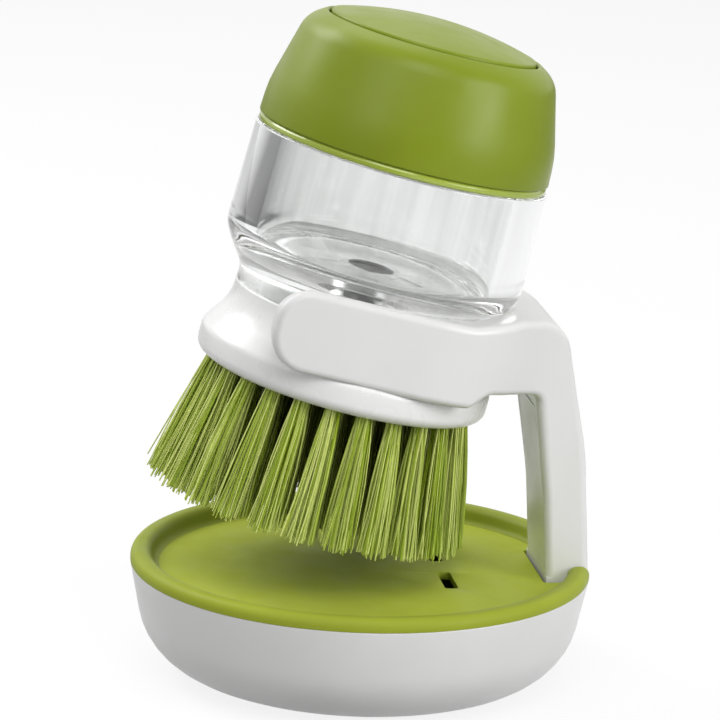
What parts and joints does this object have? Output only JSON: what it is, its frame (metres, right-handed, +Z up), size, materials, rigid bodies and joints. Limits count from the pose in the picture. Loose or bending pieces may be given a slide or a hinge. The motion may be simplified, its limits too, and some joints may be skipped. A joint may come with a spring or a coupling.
{
  "type": "dish wand with stand",
  "caption": "Palm dish brush with a clear soap tank, screw cap and press button, parked tilted in a forked stand over a drip tray and bowl.",
  "frame": {"origin": "centre of the non-slip pad's underside, on the table under the bowl", "axes": "+Z up from the table, +X towards the leg of the stand, so the parked brush leans towards +X; XZ is the mirror plane"},
  "size_m": [0.095, 0.095, 0.138],
  "materials": {
    "white_plastic": "satin",
    "green_plastic": "satin",
    "clear_plastic": "clear",
    "inner_plastic": "satin",
    "silicone": "soft",
    "pad_rubber": "matt",
    "spring_steel": "drawn wire",
    "bristle_nylon": "fine filaments"
  },
  "bodies": {
    "stand": {"base_bowl": "white_plastic", "non_slip_pad": "pad_rubber", "stand_arm": "white_plastic", "leg_cover": "white_plastic"},
    "tray": {"drip_tray": "green_plastic"},
    "brush": {"brush_head": "white_plastic", "bristle_plate": "inner_plastic", "neck_seal": "silicone", "outlet_valve": "silicone", "valve_retainer": "inner_plastic", "tank": "clear_plastic", "tufts_outer": "bristle_nylon", "tufts_second": "bristle_nylon", "tufts_third": "bristle_nylon", "tufts_inner": "bristle_nylon"},
    "cap_seal": {"cap_gasket": "silicone"},
    "cap": {"cap_shell": "green_plastic", "clamp_ring": "inner_plastic", "bellows": "silicone", "return_spring": "spring_steel"},
    "button": {"press_button": "green_plastic"}
  },
  "joints": [
    {"name": "tray_lift", "type": "slide", "parent": "stand", "child": "tray", "axis": [0, 0, 1], "range_m": [0, 0.004]},
    {"name": "brush_slide", "type": "slide", "parent": "stand", "child": "brush", "axis": [-0.9744, 0, 0.225], "range_m": [0, 0.056]},
    {"name": "cap_lift", "type": "slide", "parent": "brush", "child": "cap_seal", "axis": [0.225, 0, 0.9744], "range_m": [0, 0.008]},
    {"name": "cap_turn", "type": "hinge", "parent": "cap_seal", "child": "cap", "pos_m": [0.00686, 0, 0.11622], "axis": [0.225, 0, 0.9744], "range_deg": [0, 361]},
    {"name": "button_press", "type": "slide", "parent": "cap", "child": "button", "axis": [-0.225, 0, -0.9744], "range_m": [0, 0.004], "stiffness_N_per_m": 1500, "springref_m": -0.0015, "deforming": ["return_spring", "bellows"]}
  ],
  "couplings": [
    {"joint": "cap_turn", "follows": "cap_lift", "rad_per_m": 785.4}
  ]
}
